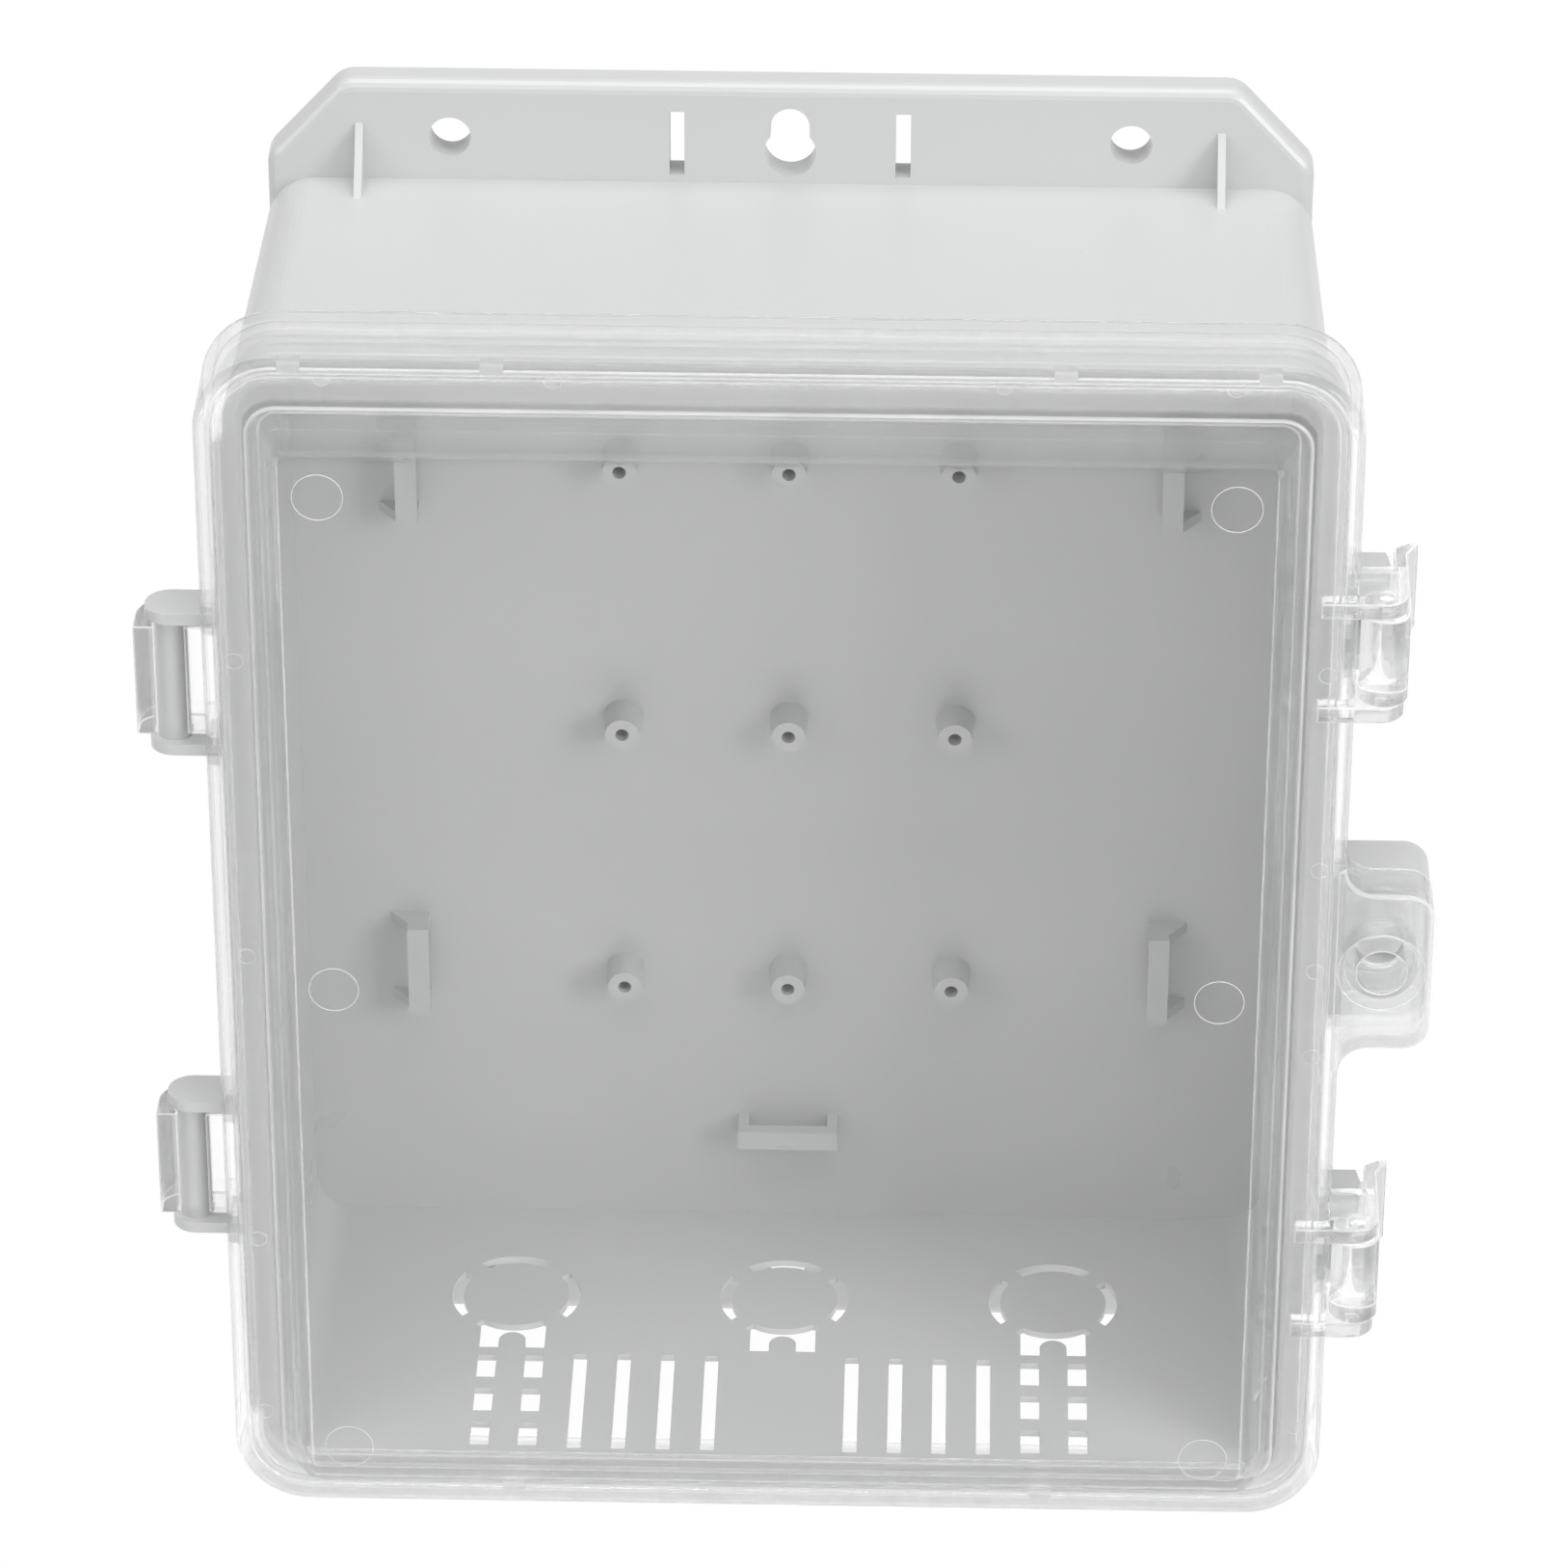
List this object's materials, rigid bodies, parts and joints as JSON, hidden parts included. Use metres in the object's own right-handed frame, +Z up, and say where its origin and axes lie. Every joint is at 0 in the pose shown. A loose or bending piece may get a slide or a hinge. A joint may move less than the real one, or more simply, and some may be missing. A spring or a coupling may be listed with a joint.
{
  "type": "hinged wall-mount enclosure",
  "caption": "Wall-mount plastic enclosure: grey base with flanges, standoffs, knockouts and vents, clear hinged door with snap latches and a padlock tab.",
  "frame": {"origin": "centre of the back face, in the plane of the wall", "axes": "+Z up the wall, +X to the right of someone who faces the door, -Y out of the wall"},
  "size_m": [0.2638, 0.1136, 0.306],
  "materials": {
    "base": "moulded opaque light grey polycarbonate, semi-gloss",
    "door": "clear moulded polycarbonate, polished",
    "seal": "soft pale silicone",
    "lever": "clear moulded polycarbonate, polished"
  },
  "bodies": {
    "base": {"back_panel": "base", "top_wall": "base", "bottom_wall": "base", "left_wall": "base", "right_wall": "base", "top_flange": "base", "bottom_flange": "base", "top_gussets": "base", "bottom_gussets": "base", "standoffs": "base", "side_tie_brackets": "base", "bottom_tie_bracket": "base", "upper_hinge_ears": "base", "lower_hinge_ears": "base", "upper_hinge_pin": "base", "lower_hinge_pin": "base", "upper_catch": "base", "lower_catch": "base", "base_padlock_tab": "base"},
    "door": {"door_window": "door", "door_top_rail": "door", "door_bottom_rail": "door", "door_left_rail": "door", "door_right_rail": "door", "door_hinge_hooks": "door", "door_latch_arms": "door", "door_padlock_tab": "door", "door_gasket": "seal"},
    "latch_upper": {"upper_latch_lever": "lever"},
    "latch_lower": {"lower_latch_lever": "lever"}
  },
  "joints": [
    {"name": "door_hinge", "type": "hinge", "parent": "base", "child": "door", "pos_m": [-0.1228, -0.0868, 0], "axis": [0, 0, -1], "range_deg": [0, 180]},
    {"name": "latch_upper_pivot", "type": "hinge", "parent": "door", "child": "latch_upper", "pos_m": [0.1209, -0.1003, 0.0748], "axis": [0, 0, -1], "range_deg": [0, 100]},
    {"name": "latch_lower_pivot", "type": "hinge", "parent": "door", "child": "latch_lower", "pos_m": [0.1209, -0.1003, -0.0748], "axis": [0, 0, -1], "range_deg": [0, 100]}
  ]
}
